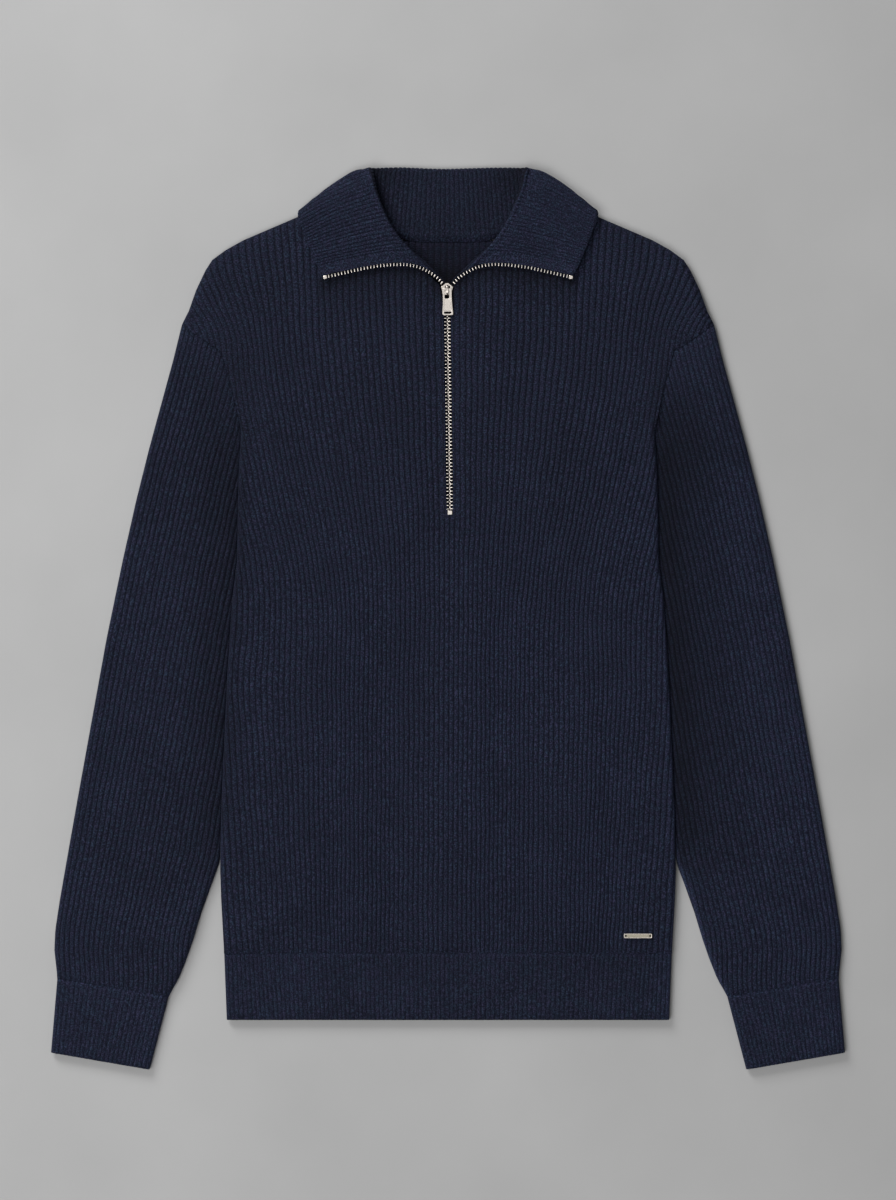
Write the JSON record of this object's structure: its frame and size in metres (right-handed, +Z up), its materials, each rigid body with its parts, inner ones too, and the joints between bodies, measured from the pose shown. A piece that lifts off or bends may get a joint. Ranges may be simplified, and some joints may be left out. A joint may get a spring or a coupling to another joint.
{
  "type": "quarter zip sweater",
  "caption": "Rib-knitted pullover with long sleeves, a turned-down collar and a zip opening to the chest, laid flat; its pull tab lifts.",
  "frame": {"origin": "on the surface that the garment lies on, at the middle of its outline", "axes": "+Z up through the garment's thickness; +Y from the hem towards the collar, which is the longest way; +X towards the side of its front that is on the viewer's right"},
  "size_m": [0.6754, 0.7668, 0.0186],
  "materials": {
    "rib_knit": "navy melange yarn, knitted in ribs, matt and slightly fuzzy",
    "band_knit": "navy yarn, finer and tighter ribs",
    "zip_tape": "woven navy zip tape",
    "nickel": "nickel-plated, worn satin"
  },
  "bodies": {
    "garment": {"back_panel": "rib_knit", "front_panel": "rib_knit", "sleeve_left": "rib_knit", "sleeve_right": "rib_knit", "cuff_left": "band_knit", "cuff_right": "band_knit", "hem_band": "band_knit", "collar": "rib_knit", "zip_tape_left": "zip_tape", "zip_tape_right": "zip_tape", "zip_chain": "nickel", "zip_row_left": "nickel", "zip_row_right": "nickel", "zip_top_stop_left": "nickel", "zip_top_stop_right": "nickel", "zip_bottom_stop": "nickel", "zip_slider": "nickel", "metal_bar": "nickel"},
    "pull_tab": {"zip_pull_tab": "nickel"}
  },
  "joints": [
    {"name": "pull_tab_hinge", "type": "hinge", "parent": "garment", "child": "pull_tab", "pos_m": [-0.0008, 0.28, 0.0091], "axis": [-1, 0, 0], "range_deg": [0, 150]}
  ]
}
